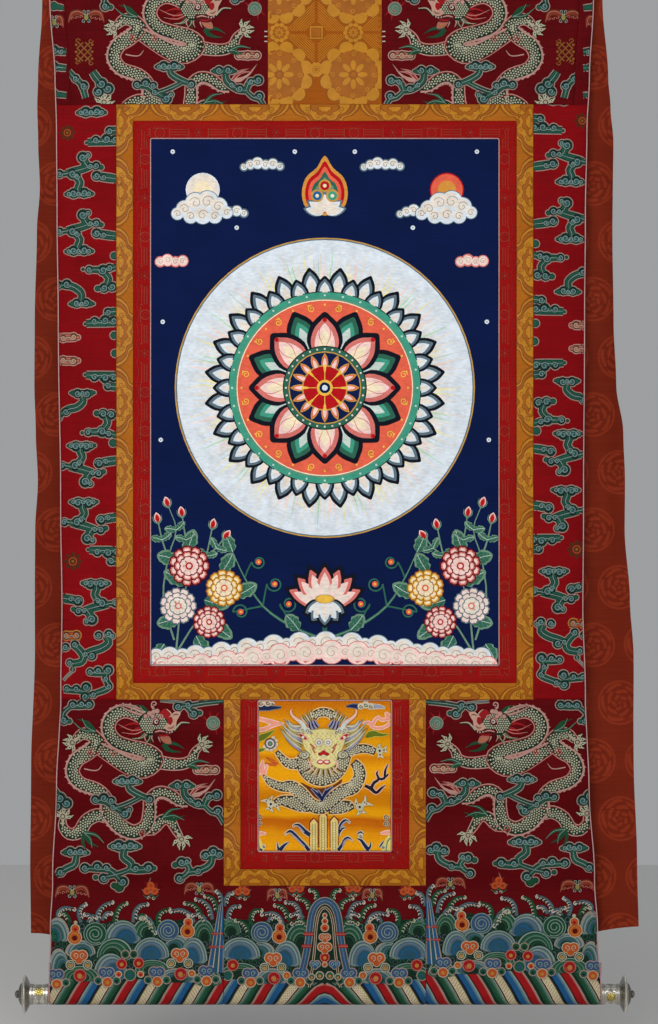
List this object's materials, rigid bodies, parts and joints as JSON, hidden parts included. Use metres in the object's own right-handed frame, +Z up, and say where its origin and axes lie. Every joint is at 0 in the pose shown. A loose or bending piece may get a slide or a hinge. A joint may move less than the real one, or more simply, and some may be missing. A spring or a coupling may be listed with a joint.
{
  "type": "thangka scroll painting",
  "caption": "Hanging scroll: a painted cotton panel with red and gold frames in a brocade mount, a round roller with turned metal knobs at its foot and a silk cover behind.",
  "frame": {"origin": "middle of the top edge, on the fold of the top hem", "axes": "+Z up, the painted front faces -Y, +X to the viewer's right"},
  "size_m": [0.8945, 0.0569, 1.5222],
  "materials": {
    "red_brocade": "crimson silk brocade with woven green clouds, dragons and a sea of waves, soft sheen",
    "gold_brocade": "gold-yellow silk damask with lobed clouds and medallions, soft sheen",
    "red_border": "bright red silk with a small ochre lattice",
    "painted_cotton": "matt painted cotton, deep blue ground",
    "yellow_brocade": "yellow-gold silk brocade with a frontal dragon, soft sheen",
    "piping": "fine twisted pale cord",
    "cover_silk": "thin russet silk with lighter round medallions",
    "silver": "bright chased silver with darkened hollows and a gilt flower",
    "wood": "plain turned wood"
  },
  "bodies": {
    "root": {"head_centre": "gold_brocade", "head_left": "red_brocade", "head_right": "red_brocade", "head_strip_left": "red_brocade", "head_strip_right": "red_brocade", "painting": "painted_cotton", "painting_piping": "piping", "red_border_left": "red_border", "red_border_right": "red_border", "red_border_top": "red_border", "red_border_foot": "red_border", "gold_border_left": "gold_brocade", "gold_border_right": "gold_brocade", "gold_border_top": "gold_brocade", "gold_border_foot": "gold_brocade", "side_left": "red_brocade", "side_right": "red_brocade", "door": "yellow_brocade", "door_piping": "piping", "door_red_left": "red_border", "door_red_right": "red_border", "door_red_foot": "red_border", "door_gold_left": "gold_brocade", "door_gold_right": "gold_brocade", "door_gold_foot": "gold_brocade", "foot_left": "red_brocade", "foot_right": "red_brocade", "foot_centre": "red_brocade", "edge_piping_left": "piping", "edge_piping_right": "piping", "cover": "cover_silk", "roller_dowel": "wood", "knob_ferrule_left": "silver", "knob_flange_left": "silver", "knob_tip_left": "silver", "knob_ferrule_right": "silver", "knob_flange_right": "silver", "knob_tip_right": "silver"}
  },
  "joints": []
}
